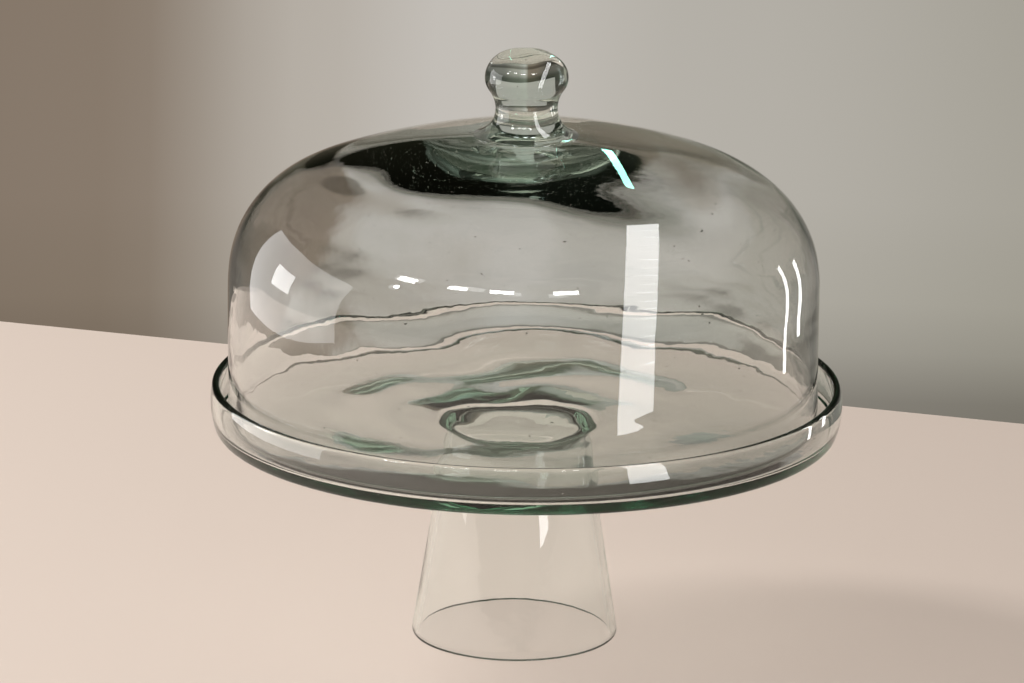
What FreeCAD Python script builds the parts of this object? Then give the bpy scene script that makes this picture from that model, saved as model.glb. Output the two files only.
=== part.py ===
"""Glass cake dome on a glass pedestal stand.

Four pieces of blown glass, all turned about the Z axis. A hollow foot carries a rimmed plate, and a
bell with a solid knob stands on the plate, inside its rim. Sizes are in millimetres. The origin is the
centre of the foot ring, on the table, with +Z up.
"""

import FreeCAD, Part
import math
import os
from types import SimpleNamespace
import Sketcher

PARTS_FOLDER = "parts"

# The driving dimensions: alias, size and meaning. Radii and heights are from the Z axis and the table.
DIMENSIONS = (
    ("foot_radius", 51.5, "outside of the foot where it meets the table"),
    ("foot_wall", 3.5, "wall of the hollow foot, measured level"),
    ("foot_edge_round", 0.8, "rounding of both edges of the foot ring"),
    ("foot_top_radius", 35.1, "outside of the foot where it meets the plate"),
    ("foot_cap_thickness", 5.0, "glass disc that closes the foot at its top"),
    ("foot_hollow_round", 2.0, "inside corner under the disc"),
    ("plate_underside", 103.0, "height of the plate's underside over the foot"),
    ("plate_seat_radius", 95.0, "flat of the underside, which the foot is fused to"),
    ("plate_edge_underside", 106.3, "height of the underside where the rim turns up"),
    ("plate_floor", 111.5, "height of the floor that the cake and the dome stand on"),
    ("plate_corner_round", 3.5, "outside corner between underside and rim"),
    ("plate_floor_round", 2.5, "inside corner between floor and rim"),
    ("lip_height", 130.0, "top of the rim"),
    ("lip_radius", 155.2, "outside of the rim at its lip, which bows out a little further below"),
    ("rim_wall", 3.8, "thickness of the rim and of its full-round lip"),
    ("rim_bow", 37.0, "arc of the rim's outside between the underside and the lip"),
    ("rim_turn_in", 13.0, "degrees that the rim turns in at its lip"),
    ("dome_clearance", 0.3, "gap between the dome's edge and the floor"),
    ("dome_edge_radius", 145.8, "outside of the bell near its edge"),
    ("dome_wall", 3.4, "wall of the bell and of its full-round edge"),
    ("dome_lean", 0.5, "degrees that the bell's side leans in"),
    ("dome_shoulder_radius", 57.0, "arc between the bell's side and its crown"),
    ("dome_crown_radius", 334.0, "arc of the crown, which is nearly flat"),
    ("dome_apex", 254.5, "height of the crown at the axis, under the knob"),
    ("dome_crown_thickness", 12.5, "glass at the middle of the crown, which is flat inside"),
    ("dome_ceiling_round", 150.0, "arc between the flat inside of the crown and the shoulder"),
    ("knob_foot_radius", 26.0, "where the knob's flared foot ends on the crown"),
    ("knob_foot_edge", 0.6, "height of the foot's edge over the crown"),
    ("knob_neck_radius", 15.0, "narrowest part of the knob"),
    ("knob_neck_height", 268.0, "height of the neck"),
    ("knob_head_radius", 20.5, "widest part of the knob"),
    ("knob_head_height", 283.3, "height of the widest part"),
    ("knob_corner_radius", 12.0, "arc over the widest part, towards the flat top"),
    ("knob_top", 297.0, "top of the knob"),
)

# Ends of a sketch element, and the sketch's own axes, as the Sketcher numbers them.
START = 1
END = 2
CENTRE = 3
LEVEL_AXIS = -1
UPRIGHT_AXIS = -2


def make_sheet(document):
    """Put each driving dimension in the sheet under its alias."""
    sheet = document.addObject("Spreadsheet::Sheet", "Sizes")
    for row, (alias, size, meaning) in enumerate(DIMENSIONS, start=1):
        sheet.set(f"A{row}", alias)
        sheet.set(f"B{row}", str(size))
        sheet.set(f"C{row}", meaning)
        sheet.setAlias(f"B{row}", alias)
    document.recompute()
    return SimpleNamespace(**{alias: sheet.get(alias) for alias, size, meaning in DIMENSIONS})


class HalfSection:
    """The closed outline of one side of a turned piece, and the body that it is turned into.

    In the sketch X is the distance from the Z axis and Y is the height. The points that its lines and
    arcs are drawn from only start the sketch: its constraints, bound to the sheet, fix every size.
    """

    def __init__(self, document, label):
        self.document = document
        self.body = document.addObject("PartDesign::Body", label)
        self.body.Label = label
        self.body.Placement = FreeCAD.Placement()
        self.sketch = self.body.newObject("Sketcher::SketchObject", label + "_section")
        planes = self.body.Origin.OriginFeatures
        upright = [plane for plane in planes if plane.Role == "XZ_Plane"][0]
        self.sketch.AttachmentSupport = [(upright, "")]
        self.sketch.MapMode = "FlatFace"

    def line(self, start, end):
        segment = Part.LineSegment(FreeCAD.Vector(*start, 0), FreeCAD.Vector(*end, 0))
        return self.sketch.addGeometry(segment, False)

    def arc(self, centre, radius, first_angle, last_angle):
        """An arc that runs anticlockwise between two angles in degrees."""
        circle = Part.Circle(FreeCAD.Vector(*centre, 0), FreeCAD.Vector(0, 0, 1), radius)
        bow = Part.ArcOfCircle(circle, math.radians(first_angle), math.radians(last_angle))
        return self.sketch.addGeometry(bow, False)

    def mark(self, point):
        """A construction point, which isn't part of the outline."""
        return self.sketch.addGeometry(Part.Point(FreeCAD.Vector(*point, 0)), True)

    def fix(self, kind, *where):
        """Add a constraint that has no size."""
        self.sketch.addConstraint(Sketcher.Constraint(kind, *where))

    def size(self, name, kind, *where, formula):
        """Add a named constraint whose size is a formula of the sheet's cells."""
        value = self.sketch.evalExpression(formula)
        if kind == "Angle":
            value = math.radians(value)
        index = self.sketch.addConstraint(Sketcher.Constraint(kind, *where, value))
        self.sketch.renameConstraint(index, name)
        self.sketch.setExpression("Constraints." + name, formula)

    def turn(self):
        """Turn the outline once about the Z axis."""
        self.document.recompute()
        if not self.sketch.FullyConstrained:
            raise RuntimeError(f"{self.sketch.Name} is not fully constrained")
        revolution = self.body.newObject("PartDesign::Revolution", self.body.Label + "_turned")
        revolution.Profile = self.sketch
        revolution.ReferenceAxis = (self.sketch, ["V_Axis"])
        revolution.Angle = 360
        self.document.recompute()
        return revolution

    def round_edges(self, name, base, alias, corners):
        """Round the circular edges that the given corners of the outline sweep."""
        near = 0.01
        edges = set()
        for corner in corners:
            point = self.sketch.getPoint(*corner)
            for number, edge in enumerate(base.Shape.Edges, start=1):
                circle = edge.Curve
                if isinstance(circle, Part.Circle) and abs(circle.Radius - point.x) < near:
                    if abs(circle.Center.z - point.y) < near:
                        edges.add(f"Edge{number}")
        if len(edges) != len(corners):
            raise RuntimeError(f"{name} found {len(edges)} edges for {len(corners)} corners")
        fillet = self.body.newObject("PartDesign::Fillet", name)
        fillet.Base = (base, sorted(edges))
        fillet.setExpression("Radius", "Sizes." + alias)
        self.document.recompute()
        return fillet


def make_pedestal(document, d):
    """The hollow foot: a straight cone, open below, closed by a thick disc at its top."""
    section = HalfSection(document, "stand_pedestal")
    ceiling_height = d.plate_underside - d.foot_cap_thickness
    inner_top_radius = d.foot_top_radius - d.foot_wall
    inner_foot_radius = d.foot_radius - d.foot_wall

    outside = section.line((d.foot_radius, 0), (d.foot_top_radius, d.plate_underside))
    roof = section.line((d.foot_top_radius, d.plate_underside), (0, d.plate_underside))
    axis = section.line((0, d.plate_underside), (0, ceiling_height))
    ceiling = section.line((0, ceiling_height), (inner_top_radius, ceiling_height))
    inside = section.line((inner_top_radius, ceiling_height), (inner_foot_radius, 0))
    ring = section.line((inner_foot_radius, 0), (d.foot_radius, 0))

    outline = (outside, roof, axis, ceiling, inside, ring)
    for element, following in zip(outline, outline[1:] + outline[:1]):
        section.fix("Coincident", element, END, following, START)
    section.fix("Horizontal", roof)
    section.fix("Horizontal", ceiling)
    section.fix("Parallel", outside, inside)
    section.fix("PointOnObject", axis, START, UPRIGHT_AXIS)
    section.fix("PointOnObject", axis, END, UPRIGHT_AXIS)
    section.fix("PointOnObject", ring, START, LEVEL_AXIS)
    section.fix("PointOnObject", ring, END, LEVEL_AXIS)
    section.size("outer_foot", "DistanceX", ring, END, formula="Sizes.foot_radius")
    section.size("inner_foot", "DistanceX", ring, START, formula="Sizes.foot_radius - Sizes.foot_wall")
    section.size("outer_top", "DistanceX", outside, END, formula="Sizes.foot_top_radius")
    section.size("top", "DistanceY", axis, START, formula="Sizes.plate_underside")
    section.size("cap", "DistanceY", axis, END, axis, START, formula="Sizes.foot_cap_thickness")

    turned = section.turn()
    hollow = section.round_edges("hollow_corner", turned, "foot_hollow_round", [(ceiling, END)])
    section.round_edges("foot_ring_edges", hollow, "foot_edge_round", [(ring, START), (ring, END)])
    return section.body


def make_plate(document, d):
    """The round plate: flat above, thinner towards its edge, with a bowed rim and a round lip."""
    section = HalfSection(document, "stand_plate")
    lip = d.rim_wall / 2
    turn_in = math.radians(d.rim_turn_in)
    lip_centre = (d.lip_radius - lip, d.lip_height - lip)
    reach = d.rim_bow - lip
    bow_centre = (lip_centre[0] - reach * math.cos(turn_in), lip_centre[1] - reach * math.sin(turn_in))
    inner_bow = d.rim_bow - d.rim_wall
    corner_turn = -math.degrees(math.asin((bow_centre[1] - d.plate_edge_underside) / d.rim_bow))
    floor_turn = -math.degrees(math.asin((bow_centre[1] - d.plate_floor) / inner_bow))
    corner_radius = bow_centre[0] + d.rim_bow * math.cos(math.radians(corner_turn))
    floor_radius = bow_centre[0] + inner_bow * math.cos(math.radians(floor_turn))
    rise = d.plate_edge_underside - d.plate_underside
    run = corner_radius - d.plate_seat_radius
    under_bow = (run ** 2 + rise ** 2) / (2 * rise)
    under_centre = (d.plate_seat_radius, d.plate_underside + under_bow)
    under_turn = math.degrees(math.asin(run / under_bow)) - 90

    seat_edge = (d.plate_seat_radius, d.plate_underside)
    seat = section.line((0, d.plate_underside), seat_edge)
    underside = section.arc(under_centre, under_bow, -90, under_turn)
    outside = section.arc(bow_centre, d.rim_bow, corner_turn, d.rim_turn_in)
    lip_round = section.arc(lip_centre, lip, d.rim_turn_in, d.rim_turn_in + 180)
    inside = section.arc(bow_centre, inner_bow, floor_turn, d.rim_turn_in)
    floor = section.line((floor_radius, d.plate_floor), (0, d.plate_floor))
    axis = section.line((0, d.plate_floor), (0, d.plate_underside))

    section.fix("Tangent", seat, END, underside, START)
    section.fix("Coincident", underside, END, outside, START)
    section.fix("Tangent", outside, END, lip_round, START)
    section.fix("Tangent", lip_round, END, inside, END)
    section.fix("Coincident", outside, CENTRE, inside, CENTRE)
    section.fix("Coincident", inside, START, floor, START)
    section.fix("Coincident", floor, END, axis, START)
    section.fix("Coincident", axis, END, seat, START)
    section.fix("Horizontal", seat)
    section.fix("Horizontal", floor)
    section.fix("PointOnObject", axis, START, UPRIGHT_AXIS)
    section.fix("PointOnObject", axis, END, UPRIGHT_AXIS)
    section.size("seat_radius", "DistanceX", seat, END, formula="Sizes.plate_seat_radius")
    section.size("seat_height", "DistanceY", seat, END, formula="Sizes.plate_underside")
    section.size("edge_underside", "DistanceY", underside, END, formula="Sizes.plate_edge_underside")
    section.size("floor_height", "DistanceY", floor, START, formula="Sizes.plate_floor")
    section.size("rim_bow", "Radius", outside, formula="Sizes.rim_bow")
    section.size("lip_round", "Radius", lip_round, formula="Sizes.rim_wall / 2")
    section.size("lip_out", "DistanceX", lip_round, CENTRE, formula="Sizes.lip_radius - Sizes.rim_wall / 2")
    section.size("lip_up", "DistanceY", lip_round, CENTRE, formula="Sizes.lip_height - Sizes.rim_wall / 2")
    section.size("bow_to_lip", "DistanceX", outside, CENTRE, lip_round, CENTRE,
                 formula="(Sizes.rim_bow - Sizes.rim_wall / 2) * cos(Sizes.rim_turn_in * 1 deg)")

    turned = section.turn()
    outer = section.round_edges("outer_corner", turned, "plate_corner_round", [(outside, START)])
    section.round_edges("floor_corner", outer, "plate_floor_round", [(floor, START)])
    return section.body


def make_bell(document, d):
    """The blown bell: even wall at the side, and a crown that is arched outside and flat inside."""
    section = HalfSection(document, "dome_bell")
    edge = d.dome_wall / 2
    edge_centre = (d.dome_edge_radius - edge, d.plate_floor + d.dome_clearance + edge)
    crown_centre = (0, d.dome_apex - d.dome_crown_radius)
    shoulder_out = d.dome_edge_radius - d.dome_shoulder_radius
    crown_reach = d.dome_crown_radius - d.dome_shoulder_radius
    shoulder_up = crown_centre[1] + math.sqrt(crown_reach ** 2 - shoulder_out ** 2)
    crown_turn = math.degrees(math.acos(shoulder_out / crown_reach))

    ceiling_height = d.dome_apex - d.dome_crown_thickness
    inner_shoulder_radius = d.dome_shoulder_radius - d.dome_wall
    bend_up = ceiling_height - d.dome_ceiling_round
    bend_reach = d.dome_ceiling_round - inner_shoulder_radius
    bend_turn = math.degrees(math.asin((shoulder_up - bend_up) / bend_reach))
    bend_out = shoulder_out - bend_reach * math.cos(math.radians(bend_turn))

    lean = d.dome_lean
    shoulder_centre = (shoulder_out, shoulder_up)
    outside = section.line((d.dome_edge_radius, edge_centre[1]), (d.dome_edge_radius, shoulder_up))
    shoulder = section.arc(shoulder_centre, d.dome_shoulder_radius, lean, crown_turn)
    crown = section.arc(crown_centre, d.dome_crown_radius, crown_turn, 90)
    axis = section.line((0, d.dome_apex), (0, ceiling_height))
    ceiling = section.line((0, ceiling_height), (bend_out, ceiling_height))
    bend = section.arc((bend_out, bend_up), d.dome_ceiling_round, bend_turn, 90)
    inner_shoulder = section.arc(shoulder_centre, inner_shoulder_radius, lean, bend_turn)
    inner_out = d.dome_edge_radius - d.dome_wall
    inside = section.line((inner_out, shoulder_up), (inner_out, edge_centre[1]))
    edge_round = section.arc(edge_centre, edge, 180 + lean, 360 + lean)

    section.fix("Tangent", outside, END, shoulder, START)
    section.fix("Tangent", shoulder, END, crown, START)
    section.fix("Coincident", crown, END, axis, START)
    section.fix("Coincident", axis, END, ceiling, START)
    section.fix("Tangent", ceiling, END, bend, END)
    section.fix("Tangent", bend, START, inner_shoulder, END)
    section.fix("Tangent", inner_shoulder, START, inside, START)
    section.fix("Tangent", inside, END, edge_round, START)
    section.fix("Tangent", edge_round, END, outside, START)
    section.fix("Parallel", outside, inside)
    section.fix("Horizontal", ceiling)
    section.fix("Coincident", shoulder, CENTRE, inner_shoulder, CENTRE)
    section.fix("PointOnObject", crown, CENTRE, UPRIGHT_AXIS)
    section.fix("PointOnObject", axis, START, UPRIGHT_AXIS)
    section.fix("PointOnObject", axis, END, UPRIGHT_AXIS)
    section.size("apex", "DistanceY", axis, START, formula="Sizes.dome_apex")
    section.size("crown_thickness", "DistanceY", axis, END, axis, START,
                 formula="Sizes.dome_crown_thickness")
    section.size("crown_radius", "Radius", crown, formula="Sizes.dome_crown_radius")
    section.size("bend_radius", "Radius", bend, formula="Sizes.dome_ceiling_round")
    section.size("shoulder_radius", "Radius", shoulder, formula="Sizes.dome_shoulder_radius")
    section.size("side_slope", "Angle", outside, formula="90 + Sizes.dome_lean")
    section.size("edge_round", "Radius", edge_round, formula="Sizes.dome_wall / 2")
    section.size("edge_out", "DistanceX", edge_round, CENTRE,
                 formula="Sizes.dome_edge_radius - Sizes.dome_wall / 2")
    section.size("edge_up", "DistanceY", edge_round, CENTRE,
                 formula="Sizes.plate_floor + Sizes.dome_clearance + Sizes.dome_wall / 2")

    section.turn()
    return section.body


def make_knob(document, d):
    """The solid knob: a flared foot fused on the crown, a neck and a head that is flatter on top."""
    section = HalfSection(document, "dome_knob")
    crown_centre = (0, d.dome_apex - d.dome_crown_radius)
    foot_turn = math.acos(d.knob_foot_radius / d.dome_crown_radius)
    foot_height = crown_centre[1] + d.dome_crown_radius * math.sin(foot_turn)
    edge_height = foot_height + d.knob_foot_edge

    flare_out = d.knob_foot_radius - d.knob_neck_radius
    flare_up = d.knob_neck_height - edge_height
    neck_bow = (flare_out ** 2 + flare_up ** 2) / (2 * flare_out)
    neck_centre = (d.knob_neck_radius + neck_bow, d.knob_neck_height)
    foot_angle = 180 + math.degrees(math.atan2(flare_up, neck_centre[0] - d.knob_foot_radius))

    centres_apart = neck_centre[0] - d.knob_head_radius
    head_rise = d.knob_head_height - d.knob_neck_height
    head_bow = (centres_apart ** 2 + head_rise ** 2 - neck_bow ** 2) / (2 * (neck_bow - centres_apart))
    head_centre = (d.knob_head_radius - head_bow, d.knob_head_height)
    swing = math.degrees(math.atan2(head_rise, neck_centre[0] - head_centre[0]))

    corner_centre = (d.knob_head_radius - d.knob_corner_radius, d.knob_head_height)
    top_rise = d.knob_top - d.knob_head_height
    top_spread = corner_centre[0] ** 2 + top_rise ** 2 - d.knob_corner_radius ** 2
    top_bow = top_spread / (2 * (top_rise - d.knob_corner_radius))
    top_centre = (0, d.knob_top - top_bow)
    top_turn = math.degrees(math.atan2(corner_centre[1] - top_centre[1], corner_centre[0]))

    seat = section.arc(crown_centre, d.dome_crown_radius, math.degrees(foot_turn), 90)
    edge = section.line((d.knob_foot_radius, foot_height), (d.knob_foot_radius, edge_height))
    neck = section.arc(neck_centre, neck_bow, 180 - swing, foot_angle)
    head = section.arc(head_centre, head_bow, -swing, 0)
    corner = section.arc(corner_centre, d.knob_corner_radius, 0, top_turn)
    top = section.arc(top_centre, top_bow, top_turn, 90)
    axis = section.line((0, d.knob_top), (0, d.dome_apex))
    waist = section.mark((d.knob_neck_radius, d.knob_neck_height))

    section.fix("Coincident", seat, START, edge, START)
    section.fix("Coincident", edge, END, neck, END)
    section.fix("Tangent", neck, START, head, START)
    section.fix("Tangent", head, END, corner, START)
    section.fix("Tangent", corner, END, top, START)
    section.fix("Coincident", top, END, axis, START)
    section.fix("Coincident", axis, END, seat, END)
    section.fix("Vertical", edge)
    section.fix("PointOnObject", waist, START, neck)
    section.fix("PointOnObject", seat, CENTRE, UPRIGHT_AXIS)
    section.fix("PointOnObject", top, CENTRE, UPRIGHT_AXIS)
    section.fix("PointOnObject", axis, START, UPRIGHT_AXIS)
    section.fix("PointOnObject", axis, END, UPRIGHT_AXIS)
    section.fix("Horizontal", head, CENTRE, head, END)
    section.size("seat_bow", "Radius", seat, formula="Sizes.dome_crown_radius")
    section.size("seat_up", "DistanceY", axis, END, formula="Sizes.dome_apex")
    section.size("foot_out", "DistanceX", edge, START, formula="Sizes.knob_foot_radius")
    section.size("foot_edge", "DistanceY", edge, START, edge, END, formula="Sizes.knob_foot_edge")
    section.size("waist_out", "DistanceX", waist, START, formula="Sizes.knob_neck_radius")
    section.size("waist_up", "DistanceY", waist, START, formula="Sizes.knob_neck_height")
    section.size("neck_up", "DistanceY", neck, CENTRE, formula="Sizes.knob_neck_height")
    section.size("head_out", "DistanceX", head, END, formula="Sizes.knob_head_radius")
    section.size("head_up", "DistanceY", head, END, formula="Sizes.knob_head_height")
    section.size("corner_bow", "Radius", corner, formula="Sizes.knob_corner_radius")
    section.size("top_up", "DistanceY", axis, START, formula="Sizes.knob_top")

    section.turn()
    return section.body


def check_document(document):
    """Stop if any object of the document failed to compute."""
    for thing in document.Objects:
        if "Invalid" in thing.State or "Error" in thing.State:
            raise RuntimeError(f"{thing.Label} is {thing.State}")


def write_bodies(bodies):
    """Check each body's shape, then write one file per body, named after it."""
    for body in bodies:
        shape = body.Shape
        if shape.isNull() or not shape.isValid() or len(shape.Solids) != 1:
            raise RuntimeError(f"{body.Label} is not one valid solid")
    os.makedirs(PARTS_FOLDER, exist_ok=True)
    for body in bodies:
        body.Shape.exportStep(os.path.join(PARTS_FOLDER, body.Label + ".step"))
        box = body.Shape.optimalBoundingBox()
        span = f"radius {box.XMax:.2f}, height {box.ZMin:.2f} to {box.ZMax:.2f}"
        print(f"{body.Label}: {span}, {body.Shape.Volume:.0f} mm3")


def main():
    document = FreeCAD.newDocument("cake_dome_and_stand")
    sizes = make_sheet(document)
    makers = (make_pedestal, make_plate, make_bell, make_knob)
    bodies = [make(document, sizes) for make in makers]
    document.recompute()
    check_document(document)
    write_bodies(bodies)


main()
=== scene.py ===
"""Looks of a hand-blown glass cake dome and its footed stand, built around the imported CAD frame.

The bell, the knob and the stand are three closed glass meshes, turned about the frame's Z axis with the
unevenness of blown glass and with small bubbles inside. The plate and the foot are one mesh, because
they are fused hot and light passes between them unbroken. Lengths are in metres, and the camera looks
along +Y, so that +X is the right of the picture and -Y its front.
"""

import math

import bpy
import numpy as np
from mathutils import Matrix, Vector


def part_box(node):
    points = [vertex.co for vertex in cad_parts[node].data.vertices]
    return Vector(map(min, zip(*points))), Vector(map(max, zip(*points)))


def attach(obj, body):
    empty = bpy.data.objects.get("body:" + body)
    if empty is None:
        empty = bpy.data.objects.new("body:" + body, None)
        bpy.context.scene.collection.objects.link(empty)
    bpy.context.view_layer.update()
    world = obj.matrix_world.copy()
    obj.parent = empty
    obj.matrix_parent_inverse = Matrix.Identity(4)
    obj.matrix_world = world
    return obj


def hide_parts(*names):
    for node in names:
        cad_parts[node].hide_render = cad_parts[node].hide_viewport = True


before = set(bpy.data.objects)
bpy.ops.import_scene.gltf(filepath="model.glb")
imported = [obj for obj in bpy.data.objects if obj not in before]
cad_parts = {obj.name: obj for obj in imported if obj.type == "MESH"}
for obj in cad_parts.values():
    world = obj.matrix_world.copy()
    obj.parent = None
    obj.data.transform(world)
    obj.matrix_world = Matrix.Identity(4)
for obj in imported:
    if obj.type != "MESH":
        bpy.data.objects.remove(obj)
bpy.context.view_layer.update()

MM = 0.001

# Sizes that the frame's boxes don't give, the same as in the CAD.
BELL_WALL = 3.4 * MM
BELL_LEAN = math.radians(0.5)
SHOULDER_RADIUS = 57.0 * MM
SHOULDER_HEIGHT = 182.9 * MM
CROWN_RADIUS = 334.0 * MM
CEILING_BEND = 150.0 * MM
CROWN_THICKNESS = 12.5 * MM
NECK_RADIUS = 15.0 * MM
NECK_HEIGHT = 268.0 * MM
HEAD_RADIUS = 20.5 * MM
HEAD_HEIGHT = 283.3 * MM
HEAD_CORNER = 12.0 * MM
RIM_WALL = 3.8 * MM
RIM_BOW = 37.0 * MM
RIM_TURN_IN = 13.0
LIP_RADIUS = 155.2 * MM
PLATE_FLOOR = 111.5 * MM
PLATE_SEAT_RADIUS = 95.0 * MM
PLATE_EDGE_UNDERSIDE = 106.3 * MM
PLATE_CORNER = 3.5 * MM
FLOOR_CORNER = 2.5 * MM
FOOT_WALL = 3.5 * MM
FOOT_TOP_RADIUS = 35.1 * MM
FOOT_CAP = 5.0 * MM
FOOT_HOLLOW_ROUND = 2.0 * MM

# Where hot glass has run together or been melted round, more softly than in the CAD.
FOOT_FILLET = 4.0 * MM
FOOT_EDGE_ROUND = 1.2 * MM
FOOT_CORNER_OUT = 0.1 * MM
KNOB_FOOT_EDGE = 1.0 * MM
EDGE_EASE = 0.7 * MM
KNOB_EASE = 0.5 * MM
SHOULDER_EASE = 7 * MM
KNOB_GAP = 0.05 * MM

# What the hand-blown glass adds to the even solids. Aside is along X, and less than 0 is to the left.
FOOT_ASIDE = -4.5 * MM
DOME_ASIDE = -1.6 * MM
CEILING_ASIDE = -9.5 * MM
CEILING_TWIST = 0.03
DIMPLE_DEPTH = 3.0 * MM
DIMPLE_ASIDE = -8 * MM
DIMPLE_INNER, DIMPLE_OUTER = 14 * MM, 56 * MM
TURN_REACH = 6 * MM
BUBBLE_RADIUS, CROWN_BUBBLE_RADIUS, LARGEST_BUBBLE = 0.2 * MM, 0.13 * MM, 0.45 * MM

# The glass: clear, and greener the further light goes through it. The density is per metre.
GLASS_IOR = 1.52
GLASS_GREEN = (0.30, 0.75, 0.55)
BELL_DENSITY, KNOB_DENSITY, STAND_DENSITY = 5.5, 5, 11
PEEL_SCALE, PEEL_DEPTH = 90, 0.03 * MM

# How finely the outlines are drawn, and how many steps they take round the axis.
FINE = 0.3 * MM
SEGMENTS = 288

# The camera, as fitted to the ellipses of the lip, the foot and the dome.
CAMERA_PITCH = math.radians(16.28)
CAMERA_ROLL = math.radians(0.71)
CAMERA_DISTANCE = 3.0
LENS_MM, SENSOR_MM = 212.90625, 36
VIEW = Vector((0, math.cos(CAMERA_PITCH), -math.sin(CAMERA_PITCH)))


# ---------------------------------------------------------------- outlines

def arc(centre, radius, first, last, step):
    """Points of an arc between two angles in degrees, evenly spaced and about a step apart."""
    count = max(3, int(abs(math.radians(last - first)) * radius / step) + 1)
    turns = np.radians(np.linspace(first, last, count))
    return np.stack([centre[0] + radius * np.cos(turns), centre[1] + radius * np.sin(turns)], axis=1)


def rounded(corners, step):
    """The outline through (radius, height, rounding) corners, each replaced by an arc of its rounding."""
    pieces = [np.array([corners[0][:2]])]
    for before, corner, after in zip(corners, corners[1:], corners[2:]):
        here = np.array(corner[:2])
        inward = np.array(before[:2]) - here
        outward = np.array(after[:2]) - here
        inward = inward / np.linalg.norm(inward)
        outward = outward / np.linalg.norm(outward)
        half = math.acos(np.clip(inward @ outward, -1, 1)) / 2
        setback = corner[2] / math.tan(half)
        middle = (inward + outward) / np.linalg.norm(inward + outward)
        centre = here + middle * corner[2] / math.sin(half)
        first = here + inward * setback - centre
        last = here + outward * setback - centre
        first_turn = math.degrees(math.atan2(first[1], first[0]))
        last_turn = math.degrees(math.atan2(last[1], last[0]))
        last_turn = first_turn + (last_turn - first_turn + 180) % 360 - 180
        pieces.append(arc(centre, corner[2], first_turn, last_turn, step))
    pieces.append(np.array([corners[-1][:2]]))
    return np.concatenate(pieces)


def spaced(points, step):
    """The same outline with its points evenly spaced."""
    keep = np.r_[True, np.linalg.norm(np.diff(points, axis=0), axis=1) > 1e-7]
    points = points[keep]
    along = np.r_[0, np.cumsum(np.linalg.norm(np.diff(points, axis=0), axis=1))]
    even = np.linspace(0, along[-1], int(along[-1] / step) + 1)
    return np.stack([np.interp(even, along, points[:, axis]) for axis in (0, 1)], axis=1)


def eased(points, step, reach):
    """The outline evened out over about a reach, as soft glass does; its ends stay on the axis."""
    points = spaced(points, step)
    mirror = np.array([-1, 1])
    pad = int(3 * reach / step) + 1
    before = points[1:pad + 1][::-1] * mirror
    after = points[-pad - 1:-1][::-1] * mirror
    padded = np.concatenate([before, points, after])
    offsets = np.arange(-pad, pad + 1) * step
    weights = np.exp(-0.5 * (offsets / reach) ** 2)
    weights /= weights.sum()
    out = np.stack([np.convolve(padded[:, axis], weights, mode="valid") for axis in (0, 1)], axis=1)
    out[0, 0] = out[-1, 0] = 0
    return out


# ---------------------------------------------------------------- hand-blown unevenness

def waves(seed, around, along, count=14):
    """Smooth unevenness of about unit size, from random waves round the axis and along the outline.

    around and along give the range of wave numbers: waves per turn, and waves per metre of outline.
    """
    random = np.random.RandomState(seed)
    turns = random.randint(around[0], around[1] + 1, count)
    pitches = 2 * math.pi * random.uniform(along[0], along[1], count) * random.choice([-1, 1], count)
    phases = random.uniform(0, 2 * math.pi, count)
    scale = math.sqrt(2 / count)

    def field(angle, run_length):
        total = np.zeros(np.broadcast(angle, run_length).shape)
        for turn, pitch, phase in zip(turns, pitches, phases):
            total += np.cos(turn * angle + pitch * run_length + phase)
        return total * scale
    return field


def fade(values, start, end):
    """Smooth step from 0 at start to 1 at end."""
    t = np.clip((values - start) / (end - start), 0, 1)
    return t * t * (3 - 2 * t)


# ---------------------------------------------------------------- meshes

def turned(name, outline, unevenness, aside, seeds):
    """A closed mesh: the outline turned about the Z axis and pushed along its normals by unevenness.

    unevenness(angle, run_length, points) gives metres along the normal, and aside is how far each
    point's ring lies off the axis along X. The bubbles in the glass are small closed shells that face
    inwards, in the same mesh.
    """
    steps = np.diff(outline, axis=0)
    run_length = np.r_[0, np.cumsum(np.linalg.norm(steps, axis=1))]
    tangent = np.gradient(outline, axis=0)
    tangent /= np.linalg.norm(tangent, axis=1)[:, None]
    normal = np.stack([-tangent[:, 1], tangent[:, 0]], axis=1)

    angle = np.arange(SEGMENTS) * 2 * math.pi / SEGMENTS
    inner = slice(1, len(outline) - 1)
    radius, height = outline[inner, 0][:, None], outline[inner, 1][:, None]
    push = unevenness(angle[None, :], run_length[inner][:, None], outline[inner])
    out = radius + push * normal[inner, 0][:, None]
    up = height + push * normal[inner, 1][:, None]
    across = out * np.cos(angle) + aside[inner][:, None]
    rings = np.stack([across, out * np.sin(angle), up + 0 * angle], axis=2)
    count = len(outline) - 2
    poles = np.array([[aside[0], 0, up[0].mean()], [aside[-1], 0, up[-1].mean()]])
    vertices = np.concatenate([rings.reshape(-1, 3), poles])

    index = np.arange(count * SEGMENTS).reshape(count, SEGMENTS)
    following = np.roll(index, -1, axis=1)
    quads = np.stack([index[:-1], index[1:], following[1:], following[:-1]], axis=2).reshape(-1, 4)
    first_pole, last_pole = count * SEGMENTS, count * SEGMENTS + 1
    fans = [(first_pole, int(a), int(b)) for a, b in zip(index[0], following[0])]
    fans += [(last_pole, int(b), int(a)) for a, b in zip(index[-1], following[-1])]
    faces = [tuple(quad) for quad in quads.tolist()] + fans
    vertices, faces = add_bubbles(vertices, faces, seeds)

    mesh = bpy.data.meshes.new(name)
    mesh.from_pydata(vertices.tolist(), [], faces)
    mesh.shade_smooth()
    mesh.update()
    piece = bpy.data.objects.new(name, mesh)
    bpy.context.scene.collection.objects.link(piece)
    return piece


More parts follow.
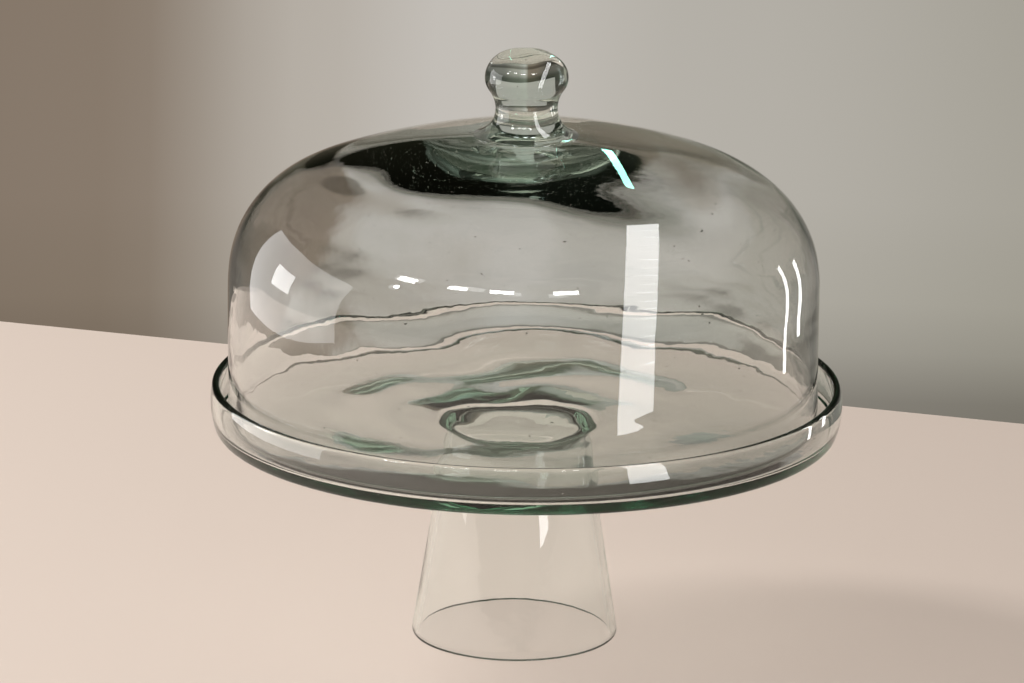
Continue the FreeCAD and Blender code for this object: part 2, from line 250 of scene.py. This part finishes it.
def add_bubbles(vertices, faces, seeds):
    """Append each bubble, a (centre, radius, stretch direction, stretch) ellipsoid facing inwards."""
    rows, columns = 4, 6
    for centre, radius, direction, stretch in seeds:
        start = len(vertices)
        shell = [(0, 0, radius)]
        for row in range(1, rows):
            tilt = math.pi * row / rows
            for column in range(columns):
                turn = 2 * math.pi * column / columns
                shell.append((radius * math.sin(tilt) * math.cos(turn),
                              radius * math.sin(tilt) * math.sin(turn), radius * math.cos(tilt)))
        shell.append((0, 0, -radius))
        shell = np.array(shell)
        shell += np.outer(shell @ direction, direction) * (stretch - 1)
        vertices = np.concatenate([vertices, shell + centre])
        last = start + 1 + (rows - 1) * columns
        for column in range(columns):
            across = (column + 1) % columns
            faces.append((start, start + 1 + across, start + 1 + column))
            for row in range(rows - 2):
                a = start + 1 + row * columns
                b = a + columns
                faces.append((a + column, a + across, b + across, b + column))
            lowest = start + 1 + (rows - 2) * columns
            faces.append((last, lowest + column, lowest + across))
    return vertices, faces


# ---------------------------------------------------------------- the pieces' outlines

def knob_outline(seat_height, top, foot_radius):
    """From the top of the knob down to the edge of its flared foot, as arcs that touch each other."""
    corner = (HEAD_RADIUS - HEAD_CORNER, HEAD_HEIGHT)
    rise = top - HEAD_HEIGHT
    top_bow = (corner[0] ** 2 + rise ** 2 - HEAD_CORNER ** 2) / (2 * (rise - HEAD_CORNER))
    top_turn = math.degrees(math.atan2(HEAD_HEIGHT - top + top_bow, corner[0]))
    flare_out = foot_radius - NECK_RADIUS
    flare_up = NECK_HEIGHT - seat_height
    neck_bow = (flare_out ** 2 + flare_up ** 2) / (2 * flare_out)
    neck = (NECK_RADIUS + neck_bow, NECK_HEIGHT)
    gap = neck[0] - HEAD_RADIUS
    head_rise = HEAD_HEIGHT - NECK_HEIGHT
    head_bow = (gap ** 2 + head_rise ** 2 - neck_bow ** 2) / (2 * (neck_bow - gap))
    head = (HEAD_RADIUS - head_bow, HEAD_HEIGHT)
    swing = math.degrees(math.atan2(head_rise, neck[0] - head[0]))
    foot_turn = 180 + math.degrees(math.atan2(flare_up, neck[0] - foot_radius))
    return [arc((0, top - top_bow), top_bow, 90, top_turn, FINE),
            arc(corner, HEAD_CORNER, top_turn, 0, FINE),
            arc(head, head_bow, 0, -swing, FINE),
            arc(neck, neck_bow, 180 - swing, foot_turn, FINE)]


def knob_section():
    """The knob's whole outline: its outside, and its seat a hair over the crown."""
    knob_low, knob_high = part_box("dome_knob")
    apex, foot_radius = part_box("dome_bell")[1].z, knob_high.x
    seat = (0, apex - CROWN_RADIUS)
    foot_turn = math.degrees(math.acos(foot_radius / CROWN_RADIUS))
    points = knob_outline(knob_low.z + KNOB_FOOT_EDGE, knob_high.z, foot_radius)
    points += [arc(seat, CROWN_RADIUS + KNOB_GAP, foot_turn, 90, FINE), np.array([(0, apex + KNOB_GAP)])]
    return thinned(eased(np.concatenate(points), FINE, KNOB_EASE))


def bell_outline():
    """From the crown's middle, down the outside of the bell, round its edge and up to the ceiling."""
    bell_low, bell_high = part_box("dome_bell")
    apex, edge_radius = bell_high.z, bell_high.x
    crown = (0, apex - CROWN_RADIUS)
    reach = CROWN_RADIUS - SHOULDER_RADIUS
    shoulder_out = edge_radius - SHOULDER_RADIUS
    shoulder = (shoulder_out, crown[1] + math.sqrt(reach ** 2 - shoulder_out ** 2))
    crown_turn = math.degrees(math.acos(shoulder_out / reach))
    ceiling = apex - CROWN_THICKNESS
    inner_shoulder = SHOULDER_RADIUS - BELL_WALL
    bend_reach = CEILING_BEND - inner_shoulder
    bend_up = ceiling - CEILING_BEND
    bend_turn = math.degrees(math.asin((shoulder[1] - bend_up) / bend_reach))
    bend_out = shoulder_out - bend_reach * math.cos(math.radians(bend_turn))
    edge = (edge_radius - BELL_WALL / 2, bell_low.z + BELL_WALL / 2)
    lean = math.degrees(BELL_LEAN)
    points = [arc(crown, CROWN_RADIUS, 90, crown_turn, FINE),
               arc(shoulder, SHOULDER_RADIUS, crown_turn, lean, FINE),
               arc(edge, BELL_WALL / 2, lean, lean - 180, FINE),
               arc(shoulder, inner_shoulder, lean, bend_turn, FINE),
               arc((bend_out, bend_up), CEILING_BEND, bend_turn, 90, FINE),
               np.array([(0, ceiling)])]
    points = np.concatenate(points)
    close = eased(points, FINE, EDGE_EASE)
    soft = eased(points, FINE, SHOULDER_EASE)
    on_shoulder = fade(close[:, 0], 50 * MM, 80 * MM) * fade(close[:, 1], 140 * MM, 170 * MM)
    return thinned(close + (soft - close) * on_shoulder[:, None])


def meeting(first, first_radius, second, second_radius):
    """The outer of the two points at which two circles cross."""
    apart = second - first
    distance = np.linalg.norm(apart)
    along = (first_radius ** 2 - second_radius ** 2 + distance ** 2) / (2 * distance)
    aside = math.sqrt(first_radius ** 2 - along ** 2)
    apart = apart / distance
    turned_left = np.array([-apart[1], apart[0]])
    crossings = [first + apart * along + turned_left * side for side in (-aside, aside)]
    return max(crossings, key=lambda crossing: crossing[0])


def rim_outline(underside):
    """From the floor's inside corner up the bowed rim, over its lip and under it to the flat underside."""
    lip = RIM_WALL / 2
    turn_in = math.radians(RIM_TURN_IN)
    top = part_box("stand_plate")[1].z
    lip_centre = np.array([LIP_RADIUS - lip, top - lip])
    bow = lip_centre - (RIM_BOW - lip) * np.array([math.cos(turn_in), math.sin(turn_in)])
    inner_bow = RIM_BOW - RIM_WALL
    corner_out = bow[0] + math.sqrt(RIM_BOW ** 2 - (bow[1] - PLATE_EDGE_UNDERSIDE) ** 2)
    run, rise = corner_out - PLATE_SEAT_RADIUS, PLATE_EDGE_UNDERSIDE - underside
    under_bow = (run ** 2 + rise ** 2) / (2 * rise)
    under = np.array([PLATE_SEAT_RADIUS, underside + under_bow])

    floor_up = PLATE_FLOOR + FLOOR_CORNER
    floor_out = bow[0] + math.sqrt((inner_bow - FLOOR_CORNER) ** 2 - (bow[1] - floor_up) ** 2)
    floor_turn = math.degrees(math.atan2(floor_up - bow[1], floor_out - bow[0]))
    corner = meeting(bow, RIM_BOW - PLATE_CORNER, under, under_bow - PLATE_CORNER)
    corner_turn = math.degrees(math.atan2(*(corner - bow)[::-1]))
    under_turn = math.degrees(math.atan2(*(corner - under)[::-1]))
    return [arc((floor_out, floor_up), FLOOR_CORNER, -90, floor_turn, FINE),
            arc(bow, inner_bow, floor_turn, RIM_TURN_IN, FINE),
            arc(lip_centre, lip, RIM_TURN_IN + 180, RIM_TURN_IN, FINE),
            arc(bow, RIM_BOW, RIM_TURN_IN, corner_turn, FINE),
            arc(corner, PLATE_CORNER, corner_turn, under_turn, FINE),
            arc(under, under_bow, under_turn, -90, FINE)]


def stand_outline():
    """From the middle of the plate's floor, over its rim, under it, and down and up the hollow foot."""
    foot_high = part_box("stand_pedestal")[1]
    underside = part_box("stand_plate")[0].z
    foot_radius = foot_high.x + FOOT_CORNER_OUT
    narrowing = (foot_radius - FOOT_TOP_RADIUS) / underside
    ceiling = underside - FOOT_CAP
    inner_top = foot_radius - FOOT_WALL - narrowing * ceiling
    foot = rounded([
        (FOOT_TOP_RADIUS + 20 * MM, underside, 0),
        (FOOT_TOP_RADIUS, underside, FOOT_FILLET),
        (foot_radius, 0, FOOT_EDGE_ROUND),
        (foot_radius - FOOT_WALL, 0, FOOT_EDGE_ROUND),
        (inner_top, ceiling, FOOT_HOLLOW_ROUND),
        (0, ceiling, 0),
    ], FINE)[1:]
    rim = rim_outline(underside)
    points = [np.array([(0, PLATE_FLOOR)])] + rim + [foot]
    return thinned(eased(np.concatenate(points), FINE, EDGE_EASE))


def thinned(points):
    """Fewer points where the outline is nearly straight, for a mesh of an even quality."""
    closest, widest, share = 0.35 * MM, 2.3 * MM, 0.11
    direction = np.unwrap(np.arctan2(*np.diff(points, axis=0).T[::-1]))
    bend = np.abs(np.gradient(direction)) / FINE
    bend = np.convolve(np.r_[bend[0], bend], np.ones(9) / 9, mode="same")
    gap = np.clip(share / np.maximum(bend, 1), closest, widest)
    along = np.r_[0, np.cumsum(FINE / gap[1:])]
    even = np.linspace(0, along[-1], int(along[-1]) + 2)
    return np.stack([np.interp(even, along, points[:, axis]) for axis in (0, 1)], axis=1)


def bubbles(seed, count, outline, wall, aside, size=BUBBLE_RADIUS):
    """Bubbles spread evenly over an outline's surface, inside a wall behind it and drawn out level."""
    random = np.random.RandomState(seed)
    shallowest, deepest, size_spread, mean_stretch = 0.35, 0.6, 0.5, 0.5
    tangent = np.gradient(outline, axis=0)
    tangent /= np.linalg.norm(tangent, axis=1)[:, None]
    area = np.cumsum(outline[:, 0] * np.linalg.norm(np.gradient(outline, axis=0), axis=1))
    out = []
    for place in random.uniform(0, area[-1], count):
        i = int(np.clip(np.searchsorted(area, place), 4, len(outline) - 5))
        turn = random.uniform(0, 2 * math.pi)
        radius = min(LARGEST_BUBBLE, size * random.lognormal(0, size_spread))
        depth = random.uniform(shallowest, deepest) * wall
        r = outline[i, 0] + tangent[i, 1] * depth
        z = outline[i, 1] - tangent[i, 0] * depth
        round_axis = np.array([-math.sin(turn), math.cos(turn), 0])
        centre = np.array([r * math.cos(turn) + aside[i], r * math.sin(turn), z])
        out.append((centre, radius, round_axis, 1 + random.exponential(mean_stretch)))
    return out


# ---------------------------------------------------------------- the pieces

def make_bell():
    """The blown bell: uneven outside and inside, out of round, with streaks and dimples low down."""
    outline = bell_outline()
    edge = np.argmin(outline[:, 1])
    steps = np.linalg.norm(np.diff(outline, axis=0), axis=1)
    edge_run = steps[:edge].sum()
    outer_depth, inner_depth, oval_depth = 0.17 * MM, 0.13 * MM, 0.4 * MM
    streak_depth, dimple_depth, low_dimple_depth = 0.010 * MM, 0.004 * MM, 0.02 * MM
    oval = waves(11, (2, 3), (0.5, 2), 4)
    outer = waves(12, (2, 9), (3, 12))
    inner = waves(14, (2, 10), (4, 16))
    streaks = waves(15, (0, 3), (50, 120), 20)
    dimples = waves(16, (10, 30), (12, 40), 24)
    inside_rings = np.arange(len(outline)) > edge
    near_axis = 1 - fade(outline[:, 0], 75 * MM, 110 * MM)
    aside = DOME_ASIDE + CEILING_ASIDE * near_axis * inside_rings

    def unevenness(angle, run_length, points):
        radius = points[:, 0][:, None]
        height = points[:, 1][:, None]
        outside = 1 - fade(run_length, edge_run - TURN_REACH, edge_run)
        inside = fade(run_length, edge_run, edge_run + TURN_REACH)
        on_bell = fade(radius, 0, 60 * MM)
        off_patch = 0.3 + 0.7 * fade(radius, 60 * MM, 115 * MM)
        off_crown = fade(radius, 80 * MM, 130 * MM)
        low = 1 - fade(height, 130 * MM, 190 * MM)
        push = outside * on_bell * off_patch * outer_depth * outer(angle, run_length)
        push = push + inside * on_bell * off_patch * inner_depth * inner(angle, run_length)
        right, front = radius * np.cos(angle), -radius * np.sin(angle)
        on_ceiling = fade(right, 10 * MM, 60 * MM) * (1 - fade(radius, 85 * MM, 142 * MM))
        push = push + inside * CEILING_TWIST * front * on_ceiling
        push = push + on_bell * off_crown * streak_depth * streaks(angle, run_length)
        push = push + off_crown * (dimple_depth + low_dimple_depth * low) * dimples(angle, run_length)
        return push + (outside - inside) * on_bell * oval_depth * oval(angle, height)

    crown, crown_wall = np.argmax(outline[:, 0] > 75 * MM), 9 * MM
    seeds = bubbles(21, 400, outline[:edge], BELL_WALL, aside)
    seeds += bubbles(23, 500, outline[:crown], crown_wall, aside, CROWN_BUBBLE_RADIUS)
    return turned("glass_bell", outline, unevenness, aside, seeds)


def make_knob():
    """The solid knob, a little lumpy above its neck."""
    outline = knob_section()
    widest, head_depth = np.argmax(outline[:, 0]), 12 * MM
    aside = np.full(len(outline), DOME_ASIDE)
    swell, swell_depth = waves(17, (1, 4), (10, 30)), 0.25 * MM

    def unevenness(angle, run_length, points):
        above = fade(points[:, 1][:, None], 257 * MM, 262 * MM)
        off_axis = fade(points[:, 0][:, None], 0, 10 * MM)
        return above * off_axis * swell_depth * swell(angle, run_length)

    seeds = bubbles(22, 14, outline[:widest], head_depth, aside)
    return turned("glass_knob", outline, unevenness, aside, seeds)


def make_stand():
    """The plate and its foot: a dimple in the floor, and a swirl under it round the foot."""
    outline = stand_outline()
    lip, plate_depth = np.argmax(outline[:, 1]), 5 * MM
    steps = np.linalg.norm(np.diff(outline, axis=0), axis=1)
    lip_run = steps[:lip].sum()
    wave_depth, fine_depth, swirl_depth, more_behind = 0.06 * MM, 0.004 * MM, 0.45 * MM, 0.6
    top = waves(31, (1, 6), (4, 16))
    below = waves(32, (1, 8), (4, 20))
    fine = waves(33, (8, 30), (20, 60), 20)
    swirl = waves(34, (2, 5), (8, 14))
    near_foot = 1 - fade(outline[:, 0], 55 * MM, 100 * MM)
    aside = FOOT_ASIDE * near_foot * (outline[:, 1] < PLATE_FLOOR - 3 * MM)

    def unevenness(angle, run_length, points):
        radius = points[:, 0][:, None]
        above = 1 - fade(run_length, lip_run - TURN_REACH, lip_run)
        under = fade(run_length, lip_run, lip_run + TURN_REACH)
        off_axis = fade(radius, 30 * MM, 70 * MM)
        from_dimple = np.hypot(radius * np.cos(angle) - DIMPLE_ASIDE, radius * np.sin(angle))
        dimple = above * (1 - fade(from_dimple, DIMPLE_INNER, DIMPLE_OUTER))
        on_plate = fade(points[:, 1][:, None], 98 * MM, 102 * MM)
        round_foot = on_plate * fade(radius, 52 * MM, 70 * MM) * (1 - fade(radius, 88 * MM, 115 * MM))
        swirling = under * round_foot * (1 + more_behind * np.sin(angle))
        push = above * off_axis * wave_depth * top(angle, run_length) - dimple * DIMPLE_DEPTH
        push = push + under * off_axis * wave_depth * below(angle, run_length)
        push = push + swirling * swirl_depth * swirl(angle, run_length)
        return push + off_axis * fine_depth * fine(angle, run_length)

    seeds = bubbles(41, 200, outline[:lip], plate_depth, 0 * outline[:, 0])
    return turned("glass_stand", outline, unevenness, aside, seeds)


# ---------------------------------------------------------------- materials

# The table's pale paint, with painted shade that darkens it away from the object, as (metres from the
# object, colour) stops.
TABLE_PAINT_AND_SHADE = (
    (0.6, (0.68, 0.56, 0.48)),
    (1.8, (0.44, 0.37, 0.32)),
)


def new_material(name):
    """A new material with its node tree, its shader and its output."""
    material = bpy.data.materials.new(name)
    material.use_nodes = True
    tree = material.node_tree
    return material, tree, tree.nodes["Principled BSDF"], tree.nodes["Material Output"]


def recycled_glass(name, density):
    """Clear glass that turns green in depth, with the soft orange peel of a fire-polished surface."""
    material, tree, shader, output = new_material(name)
    shader.inputs["Base Color"].default_value = (1, 1, 1, 1)
    shader.inputs["Roughness"].default_value = 0.0
    shader.inputs["IOR"].default_value = GLASS_IOR
    shader.inputs["Transmission Weight"].default_value = 1.0
    absorption = tree.nodes.new("ShaderNodeVolumeAbsorption")
    absorption.inputs["Color"].default_value = (*GLASS_GREEN, 1)
    absorption.inputs["Density"].default_value = density
    tree.links.new(absorption.outputs["Volume"], output.inputs["Volume"])
    place = tree.nodes.new("ShaderNodeTexCoord")
    peel = tree.nodes.new("ShaderNodeTexNoise")
    peel.inputs["Scale"].default_value = PEEL_SCALE
    peel.inputs["Detail"].default_value = 2
    bump = tree.nodes.new("ShaderNodeBump")
    bump.inputs["Strength"].default_value = 1.0
    bump.inputs["Distance"].default_value = PEEL_DEPTH
    tree.links.new(place.outputs["Object"], peel.inputs["Vector"])
    tree.links.new(peel.outputs["Fac"], bump.inputs["Height"])
    tree.links.new(bump.outputs["Normal"], shader.inputs["Normal"])
    return material


def ramp_of(tree, value, low, high, stops):
    """A colour ramp over a range of a value, from (value, colour) stops."""
    spread = tree.nodes.new("ShaderNodeMapRange")
    spread.inputs["From Min"].default_value = low
    spread.inputs["From Max"].default_value = high
    tree.links.new(value, spread.inputs["Value"])
    ramp = tree.nodes.new("ShaderNodeValToRGB")
    ramp.color_ramp.interpolation = "EASE"
    elements = ramp.color_ramp.elements
    while len(elements) < len(stops):
        elements.new(0.5)
    for element, (place, colour) in zip(elements, stops):
        element.position = (place - low) / (high - low)
        element.color = (*colour, 1)
    tree.links.new(spread.outputs["Result"], ramp.inputs["Fac"])
    return ramp.outputs["Color"]


def floor_paint_and_shade():
    """Matt pale paint with painted shade: darker far from the object, where the lamps stand nearer to it.
    """
    material, tree, shader, _ = new_material("floor_paint_and_shade")
    shader.inputs["Roughness"].default_value = 0.7
    place = tree.nodes.new("ShaderNodeTexCoord")
    distance = tree.nodes.new("ShaderNodeVectorMath")
    distance.operation = "LENGTH"
    tree.links.new(place.outputs["Object"], distance.inputs[0])
    # painted shade: the paint darkens with distance from the object
    colour = ramp_of(tree, distance.outputs["Value"], 0, 3, TABLE_PAINT_AND_SHADE)
    tree.links.new(colour, shader.inputs["Base Color"])
    return material


# ---------------------------------------------------------------- stage, light and camera

# The table top, whose back edge is turned a little about the object.
TABLE_BACK, TABLE_REACH, TABLE_THICKNESS = 0.45, 2.5, 0.03
TABLE_TURN = math.radians(-18)

# The lamps that hang about the object where the bell and the knob mirror them.
MIRRORED_DISTANCE = 0.30
CEILING_LAMP_TURNS = (-55, -28.6, -8.6, 17)
CEILING_LAMPS_OUT, CEILING_LAMPS_UP = 1.48, 1.54

# The room's light by direction, as (part of the unit sphere, colour) stops: across is along X, where the
# wall behind has a bright patch in its middle, and up is along Z, where the wall darkens to the ceiling.
ROOM_ACROSS = (
    (-1.0, (0.16, 0.145, 0.13)),
    (-0.4, (0.12, 0.105, 0.09)),
    (-0.12, (0.23, 0.18, 0.14)),
    (-0.068, (0.245, 0.195, 0.15)),
    (-0.036, (0.47, 0.43, 0.38)),
    (-0.012, (0.55, 0.52, 0.48)),
    (0.03, (0.46, 0.435, 0.39)),
    (0.1, (0.37, 0.35, 0.30)),
    (0.4, (0.19, 0.18, 0.16)),
    (1.0, (0.17, 0.16, 0.145)),
)
ROOM_UP = (
    (-1.0, (1.0, 1.0, 1.0)),
    (-0.4, (1.0, 1.0, 1.0)),
    (-0.3, (0.45, 0.44, 0.42)),
    (-0.279, (0.45, 0.44, 0.42)),
    (-0.258, (0.92, 0.92, 0.90)),
    (-0.24, (1.0, 1.0, 1.0)),
    (-0.16, (0.95, 0.95, 0.95)),
    (-0.02, (0.29, 0.33, 0.29)),
    (0.2, (0.10, 0.135, 0.10)),
    (1.0, (0.05, 0.07, 0.05)),
)


def make_floor():
    """A plain pale table top that ends a little way behind the object."""
    across, back, front, thickness = TABLE_REACH, TABLE_BACK, -TABLE_REACH, TABLE_THICKNESS
    corners = [(-across, front), (across, front), (across, back), (-across, back)]
    vertices = [(x, y, 0) for x, y in corners] + [(x, y, -thickness) for x, y in corners]
    faces = [(0, 1, 2, 3), (7, 6, 5, 4)]
    faces += [(side, side + 4, (side + 1) % 4 + 4, (side + 1) % 4) for side in range(4)]
    mesh = bpy.data.meshes.new("floor")
    mesh.from_pydata(vertices, [], faces)
    floor = bpy.data.objects.new("floor", mesh)
    bpy.context.scene.collection.objects.link(floor)
    floor.rotation_euler = (0, 0, TABLE_TURN)
    mesh.materials.append(floor_paint_and_shade())
    return floor


def make_world():
    """A dim room with a plaster wall behind: darker at its left and near the table, and a dark ceiling."""
    world = bpy.data.worlds.new("room")
    bpy.context.scene.world = world
    world.use_nodes = True
    tree = world.node_tree
    background = tree.nodes["Background"]
    place = tree.nodes.new("ShaderNodeTexCoord")
    split = tree.nodes.new("ShaderNodeSeparateXYZ")
    tree.links.new(place.outputs["Generated"], split.inputs["Vector"])
    across = ramp_of(tree, split.outputs["X"], -1, 1, ROOM_ACROSS)
    up = ramp_of(tree, split.outputs["Z"], -1, 1, ROOM_UP)
    shade = tree.nodes.new("ShaderNodeMix")
    shade.data_type = "RGBA"
    shade.blend_type = "MULTIPLY"
    shade.inputs[0].default_value = 1.0
    tree.links.new(across, shade.inputs[6])
    tree.links.new(up, shade.inputs[7])
    tree.links.new(shade.outputs[2], background.inputs["Color"])
    background.inputs["Strength"].default_value = 1.0


def add_light(name, place, target, width, height, radiance, only_for, upright=(0, 0, 1), through=False):
    """An area light of a given radiance, turned towards a point, that lights only one collection.

    Its height runs as near as it can along upright. It is seen mirrored in the glass, and through the
    glass only if through is set.
    """
    light = bpy.data.lights.new(name, "AREA")
    light.shape = "RECTANGLE"
    light.size, light.size_y = width, height
    light.energy = radiance * width * height * math.pi
    lamp = bpy.data.objects.new(name, light)
    bpy.context.scene.collection.objects.link(lamp)
    lamp.location = place
    back = (Vector(place) - Vector(target)).normalized()
    side = Vector(upright).cross(back).normalized()
    lamp.rotation_euler = Matrix((side, back.cross(side), back)).transposed().to_euler()
    lamp.light_linking.receiver_collection = only_for
    lamp.visible_transmission = through
    return lamp


def mirrored_place(tilt, offset):
    """Where a light hangs so that the camera sees it mirrored in the bell's outside.

    tilt is the tilt of the bell's surface there in degrees, and offset is how far to the right of the
    axis the light shows.
    """
    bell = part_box("dome_bell")[1]
    rise = math.radians(tilt)
    radius = bell.x - SHOULDER_RADIUS * (1 - math.cos(rise))
    turn = math.asin(offset / radius)
    normal = Vector((math.cos(rise) * math.sin(turn), -math.cos(rise) * math.cos(turn), math.sin(rise)))
    place = Vector((offset, -radius * math.cos(turn), SHOULDER_HEIGHT + SHOULDER_RADIUS * math.sin(rise)))
    return place + VIEW.reflect(normal) * MIRRORED_DISTANCE


def add_arched_strip(only_for):
    """A bright strip that bends over the dome so that the bell mirrors it as one upright band."""
    left, right, radiance, overlap = 45.5 * MM, 62.5 * MM, 9, 1.02
    lowest, highest, step = -4, 64, 4
    for low in range(lowest, highest, step):
        high = low + step
        corners = [mirrored_place(tilt, offset) for tilt in (low, high) for offset in (left, right)]
        middle = sum(corners, Vector()) / 4
        across = (corners[1] + corners[3] - corners[0] - corners[2]) / 2
        climb = (corners[2] + corners[3] - corners[0] - corners[1]) / 2
        back = across.cross(climb).normalized()
        if back.dot(middle - Vector((0, 0, SHOULDER_HEIGHT))) < 0:
            back = -back
        add_light("right_strip", middle, middle - back, across.length, climb.length * overlap,
                  radiance, only_for, climb)


def add_flare(only_for):
    """A small green lamp that the crown mirrors near the right end of the dark patch."""
    right, front = 46 * MM, 33 * MM
    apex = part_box("dome_bell")[1].z
    drop = (right ** 2 + front ** 2) / (2 * CROWN_RADIUS)
    spot = Vector((right + DOME_ASIDE, -front, apex - drop))
    normal = Vector((right, -front, CROWN_RADIUS - drop)).normalized()
    place = spot + VIEW.reflect(normal) * MIRRORED_DISTANCE
    lamp = add_light("green_flare", place, spot, 0.009, 0.13, 12, only_for, (0.26, 0, 1))
    lamp.data.color = (0.35, 1.0, 0.8)


def make_camera():
    """A long lens, far off and a little above the object, rolled a little as a hand holds it."""
    look_at = Vector((0, 0, 0.1))
    camera = bpy.data.cameras.new("camera")
    camera.sensor_width = SENSOR_MM
    camera.lens = LENS_MM
    camera.clip_start, camera.clip_end = 0.1, 50
    holder = bpy.data.objects.new("camera", camera)
    bpy.context.scene.collection.objects.link(holder)
    holder.location = look_at - VIEW * CAMERA_DISTANCE
    turn = VIEW.to_track_quat("-Z", "Y").to_matrix().to_4x4()
    holder.rotation_euler = (turn @ Matrix.Rotation(CAMERA_ROLL, 4, "Z")).to_euler()
    camera.shift_x = -0.0134
    camera.shift_y = 0.0941
    bpy.context.scene.camera = holder


def make_lights(glass_only, knob_only, floor_only):
    """Soft light on the table, and the windows and lamps that the glass mirrors."""
    foot, middle, shoulder, knob = (0, 0, 0), (0, 0, 0.15), (0, 0, 0.2), (0, 0, 0.28)
    add_light("key", (-2.6, 1.4, 2.1), foot, 0.9, 0.9, 20, floor_only)
    fill = add_light("floor_fill", (-2.4, -1.2, 2.9), foot, 3.0, 3.0, 7.2, floor_only)
    fill.data.use_shadow = False
    add_light("left_softbox", (-0.62, 0.05, 0.255), shoulder, 0.6, 0.44, 2.9, glass_only)
    add_light("left_lamp", (-0.6, 0.08, 0.27), shoulder, 0.12, 0.12, 7, glass_only)
    panel = add_light("knob_panel", (0, 1.6, 0.85), knob, 2.4, 1.1, 0.36, knob_only, through=True)
    panel.data.color = (1.0, 0.94, 0.86)
    add_light("right_window", (0.5, 0.16, 0.16), middle, 0.02, 0.26, 9, glass_only)
    add_light("right_gap", (0.5, 0.30, 0.14), middle, 0.03, 0.22, 7, glass_only)
    add_light("spark", (-1.0, -0.7, 1.0), middle, 0.06, 0.06, 150, glass_only, through=True)
    add_arched_strip(glass_only)
    add_flare(glass_only)
    for turn in CEILING_LAMP_TURNS:
        out = (math.sin(math.radians(turn)), -math.cos(math.radians(turn)))
        place = (CEILING_LAMPS_OUT * out[0], CEILING_LAMPS_OUT * out[1], CEILING_LAMPS_UP)
        add_light("ceiling_lamp", place, middle, 0.26, 0.14, 22, glass_only, through=True)


def only(name, *pieces):
    """A collection of pieces, for the lights that light nothing else."""
    collection = bpy.data.collections.new(name)
    for piece in pieces:
        collection.objects.link(piece)
    return collection


def main():
    scene = bpy.context.scene
    scene.view_settings.view_transform = "Standard"
    scene.cycles.max_bounces = 24
    scene.cycles.transmission_bounces = 24
    scene.cycles.glossy_bounces = 8
    scene.cycles.sample_clamp_indirect = 4
    blown = recycled_glass("blown_glass", BELL_DENSITY)
    gathered = recycled_glass("gathered_glass", KNOB_DENSITY)
    pressed = recycled_glass("plate_glass", STAND_DENSITY)
    knob, bell, stand = make_knob(), make_bell(), make_stand()
    for piece, glass, body, nodes in ((knob, gathered, "dome", ("dome_knob",)),
                                      (bell, blown, "dome", ("dome_bell",)),
                                      (stand, pressed, "stand", ("stand_plate", "stand_pedestal"))):
        piece.data.materials.append(glass)
        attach(piece, body)
        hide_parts(*nodes)
    floor = make_floor()
    make_world()
    make_lights(only("glass_only", knob, bell, stand), only("knob_only", knob), only("floor_only", floor))
    make_camera()


main()
